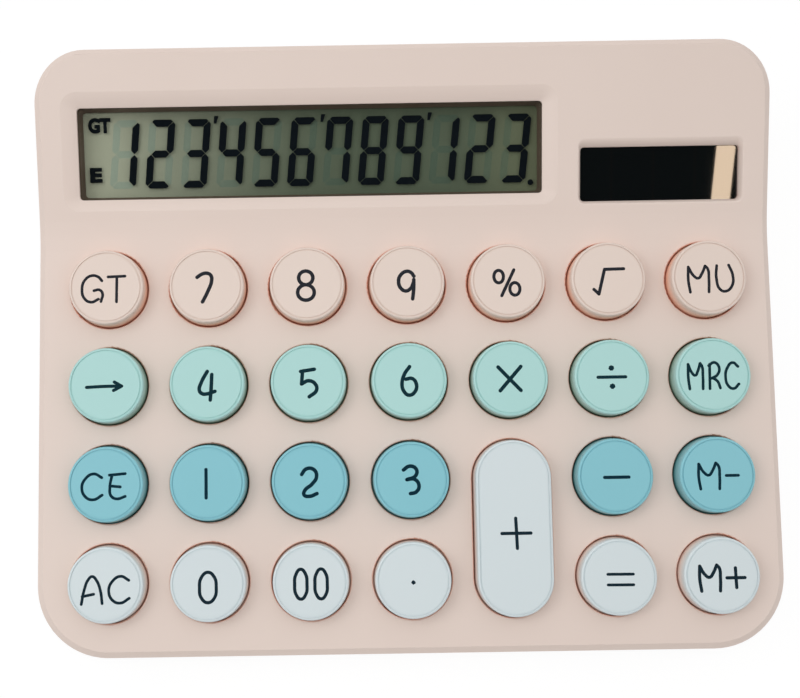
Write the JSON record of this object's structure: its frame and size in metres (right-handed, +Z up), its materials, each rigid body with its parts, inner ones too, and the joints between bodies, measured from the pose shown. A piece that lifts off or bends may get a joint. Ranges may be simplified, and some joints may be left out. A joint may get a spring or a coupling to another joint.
{
  "type": "desk calculator",
  "caption": "Wedge-shaped desk calculator with round pressing keys, one long add key, a raised display with a recessed LCD window and a small solar window.",
  "frame": {"origin": "on the desk plane, under the middle of the case's plan outline", "axes": "+X to the user's right, +Y towards the display at the back, +Z up"},
  "size_m": [0.15, 0.1216, 0.0314],
  "materials": {
    "case_abs": "moulded, fine satin, pale pink",
    "key_pink": "moulded satin, pale pink",
    "key_mint": "moulded satin, mint green",
    "key_blue": "moulded satin, sky blue",
    "key_white": "moulded satin, cool white",
    "screw_steel": "zinc plated steel",
    "foot_rubber": "matte moulded rubber",
    "clear_acrylic": "clear polished sheet",
    "frame_abs": "moulded, matte dark brown",
    "lcd_glass": "polished glass",
    "lcd_reflector": "matte reflective sheet, olive grey",
    "ribbon_film": "polyester film with printed tracks",
    "solar_glass": "polished coated glass, black",
    "wire_red": "vinyl insulation",
    "wire_black": "vinyl insulation",
    "board_laminate": "paper laminate with copper tracks",
    "silicone": "moulded translucent silicone",
    "epoxy_black": "cast epoxy",
    "capacitor_sleeve": "shrink sleeve",
    "battery_jacket": "plain jacket, no print",
    "contact_metal": "nickel plated sheet"
  },
  "bodies": {
    "case": {"upper_case": "case_abs", "lower_case": "case_abs", "case_screws": "screw_steel", "rubber_feet": "foot_rubber", "display_lens": "clear_acrylic", "lcd_frame": "frame_abs", "lcd_panel": "lcd_glass", "lcd_reflector": "lcd_reflector", "lcd_ribbon": "ribbon_film", "solar_cell": "solar_glass", "solar_lead_red": "wire_red", "solar_lead_black": "wire_black", "circuit_board": "board_laminate", "keypad_mat": "silicone", "board_screws": "screw_steel", "chip_blob": "epoxy_black", "capacitor": "capacitor_sleeve", "battery": "battery_jacket", "battery_contact_negative": "contact_metal", "battery_contact_positive": "contact_metal", "battery_lead_red": "wire_red", "battery_lead_black": "wire_black"},
    "key_grand_total": {"key_grand_total": "key_pink"},
    "key_seven": {"key_seven": "key_pink"},
    "key_eight": {"key_eight": "key_pink"},
    "key_nine": {"key_nine": "key_pink"},
    "key_percent": {"key_percent": "key_pink"},
    "key_square_root": {"key_square_root": "key_pink"},
    "key_mark_up": {"key_mark_up": "key_pink"},
    "key_right_arrow": {"key_right_arrow": "key_mint"},
    "key_four": {"key_four": "key_mint"},
    "key_five": {"key_five": "key_mint"},
    "key_six": {"key_six": "key_mint"},
    "key_multiply": {"key_multiply": "key_mint"},
    "key_divide": {"key_divide": "key_mint"},
    "key_memory_recall": {"key_memory_recall": "key_mint"},
    "key_clear_entry": {"key_clear_entry": "key_blue"},
    "key_one": {"key_one": "key_blue"},
    "key_two": {"key_two": "key_blue"},
    "key_three": {"key_three": "key_blue"},
    "key_add": {"key_add": "key_white"},
    "key_subtract": {"key_subtract": "key_blue"},
    "key_memory_minus": {"key_memory_minus": "key_blue"},
    "key_all_clear": {"key_all_clear": "key_white"},
    "key_zero": {"key_zero": "key_white"},
    "key_double_zero": {"key_double_zero": "key_white"},
    "key_decimal_point": {"key_decimal_point": "key_white"},
    "key_equals": {"key_equals": "key_white"},
    "key_memory_plus": {"key_memory_plus": "key_white"},
    "battery_door": {"battery_door": "case_abs"}
  },
  "joints": [
    {"name": "key_grand_total_press", "type": "slide", "parent": "case", "child": "key_grand_total", "axis": [0, 0.0785, -0.9969], "range_m": [0, 0.002], "stiffness_N_per_m": 300, "springref_m": -0.0015, "deforming": ["keypad_mat"]},
    {"name": "key_seven_press", "type": "slide", "parent": "case", "child": "key_seven", "axis": [0, 0.0785, -0.9969], "range_m": [0, 0.002], "stiffness_N_per_m": 300, "springref_m": -0.0015, "deforming": ["keypad_mat"]},
    {"name": "key_eight_press", "type": "slide", "parent": "case", "child": "key_eight", "axis": [0, 0.0785, -0.9969], "range_m": [0, 0.002], "stiffness_N_per_m": 300, "springref_m": -0.0015, "deforming": ["keypad_mat"]},
    {"name": "key_nine_press", "type": "slide", "parent": "case", "child": "key_nine", "axis": [0, 0.0785, -0.9969], "range_m": [0, 0.002], "stiffness_N_per_m": 300, "springref_m": -0.0015, "deforming": ["keypad_mat"]},
    {"name": "key_percent_press", "type": "slide", "parent": "case", "child": "key_percent", "axis": [0, 0.0785, -0.9969], "range_m": [0, 0.002], "stiffness_N_per_m": 300, "springref_m": -0.0015, "deforming": ["keypad_mat"]},
    {"name": "key_square_root_press", "type": "slide", "parent": "case", "child": "key_square_root", "axis": [0, 0.0785, -0.9969], "range_m": [0, 0.002], "stiffness_N_per_m": 300, "springref_m": -0.0015, "deforming": ["keypad_mat"]},
    {"name": "key_mark_up_press", "type": "slide", "parent": "case", "child": "key_mark_up", "axis": [0, 0.0785, -0.9969], "range_m": [0, 0.002], "stiffness_N_per_m": 300, "springref_m": -0.0015, "deforming": ["keypad_mat"]},
    {"name": "key_right_arrow_press", "type": "slide", "parent": "case", "child": "key_right_arrow", "axis": [0, 0.0785, -0.9969], "range_m": [0, 0.002], "stiffness_N_per_m": 300, "springref_m": -0.0015, "deforming": ["keypad_mat"]},
    {"name": "key_four_press", "type": "slide", "parent": "case", "child": "key_four", "axis": [0, 0.0785, -0.9969], "range_m": [0, 0.002], "stiffness_N_per_m": 300, "springref_m": -0.0015, "deforming": ["keypad_mat"]},
    {"name": "key_five_press", "type": "slide", "parent": "case", "child": "key_five", "axis": [0, 0.0785, -0.9969], "range_m": [0, 0.002], "stiffness_N_per_m": 300, "springref_m": -0.0015, "deforming": ["keypad_mat"]},
    {"name": "key_six_press", "type": "slide", "parent": "case", "child": "key_six", "axis": [0, 0.0785, -0.9969], "range_m": [0, 0.002], "stiffness_N_per_m": 300, "springref_m": -0.0015, "deforming": ["keypad_mat"]},
    {"name": "key_multiply_press", "type": "slide", "parent": "case", "child": "key_multiply", "axis": [0, 0.0785, -0.9969], "range_m": [0, 0.002], "stiffness_N_per_m": 300, "springref_m": -0.0015, "deforming": ["keypad_mat"]},
    {"name": "key_divide_press", "type": "slide", "parent": "case", "child": "key_divide", "axis": [0, 0.0785, -0.9969], "range_m": [0, 0.002], "stiffness_N_per_m": 300, "springref_m": -0.0015, "deforming": ["keypad_mat"]},
    {"name": "key_memory_recall_press", "type": "slide", "parent": "case", "child": "key_memory_recall", "axis": [0, 0.0785, -0.9969], "range_m": [0, 0.002], "stiffness_N_per_m": 300, "springref_m": -0.0015, "deforming": ["keypad_mat"]},
    {"name": "key_clear_entry_press", "type": "slide", "parent": "case", "child": "key_clear_entry", "axis": [0, 0.0785, -0.9969], "range_m": [0, 0.002], "stiffness_N_per_m": 300, "springref_m": -0.0015, "deforming": ["keypad_mat"]},
    {"name": "key_one_press", "type": "slide", "parent": "case", "child": "key_one", "axis": [0, 0.0785, -0.9969], "range_m": [0, 0.002], "stiffness_N_per_m": 300, "springref_m": -0.0015, "deforming": ["keypad_mat"]},
    {"name": "key_two_press", "type": "slide", "parent": "case", "child": "key_two", "axis": [0, 0.0785, -0.9969], "range_m": [0, 0.002], "stiffness_N_per_m": 300, "springref_m": -0.0015, "deforming": ["keypad_mat"]},
    {"name": "key_three_press", "type": "slide", "parent": "case", "child": "key_three", "axis": [0, 0.0785, -0.9969], "range_m": [0, 0.002], "stiffness_N_per_m": 300, "springref_m": -0.0015, "deforming": ["keypad_mat"]},
    {"name": "key_add_press", "type": "slide", "parent": "case", "child": "key_add", "axis": [0, 0.0785, -0.9969], "range_m": [0, 0.002], "stiffness_N_per_m": 300, "springref_m": -0.0015, "deforming": ["keypad_mat"]},
    {"name": "key_subtract_press", "type": "slide", "parent": "case", "child": "key_subtract", "axis": [0, 0.0785, -0.9969], "range_m": [0, 0.002], "stiffness_N_per_m": 300, "springref_m": -0.0015, "deforming": ["keypad_mat"]},
    {"name": "key_memory_minus_press", "type": "slide", "parent": "case", "child": "key_memory_minus", "axis": [0, 0.0785, -0.9969], "range_m": [0, 0.002], "stiffness_N_per_m": 300, "springref_m": -0.0015, "deforming": ["keypad_mat"]},
    {"name": "key_all_clear_press", "type": "slide", "parent": "case", "child": "key_all_clear", "axis": [0, 0.0785, -0.9969], "range_m": [0, 0.002], "stiffness_N_per_m": 300, "springref_m": -0.0015, "deforming": ["keypad_mat"]},
    {"name": "key_zero_press", "type": "slide", "parent": "case", "child": "key_zero", "axis": [0, 0.0785, -0.9969], "range_m": [0, 0.002], "stiffness_N_per_m": 300, "springref_m": -0.0015, "deforming": ["keypad_mat"]},
    {"name": "key_double_zero_press", "type": "slide", "parent": "case", "child": "key_double_zero", "axis": [0, 0.0785, -0.9969], "range_m": [0, 0.002], "stiffness_N_per_m": 300, "springref_m": -0.0015, "deforming": ["keypad_mat"]},
    {"name": "key_decimal_point_press", "type": "slide", "parent": "case", "child": "key_decimal_point", "axis": [0, 0.0785, -0.9969], "range_m": [0, 0.002], "stiffness_N_per_m": 300, "springref_m": -0.0015, "deforming": ["keypad_mat"]},
    {"name": "key_equals_press", "type": "slide", "parent": "case", "child": "key_equals", "axis": [0, 0.0785, -0.9969], "range_m": [0, 0.002], "stiffness_N_per_m": 300, "springref_m": -0.0015, "deforming": ["keypad_mat"]},
    {"name": "key_memory_plus_press", "type": "slide", "parent": "case", "child": "key_memory_plus", "axis": [0, 0.0785, -0.9969], "range_m": [0, 0.002], "stiffness_N_per_m": 300, "springref_m": -0.0015, "deforming": ["keypad_mat"]},
    {"name": "battery_door_swing", "type": "hinge", "parent": "case", "child": "battery_door", "pos_m": [0, 0.03768, 0.0021], "axis": [-1, 0, 0], "range_deg": [0, 90]}
  ]
}
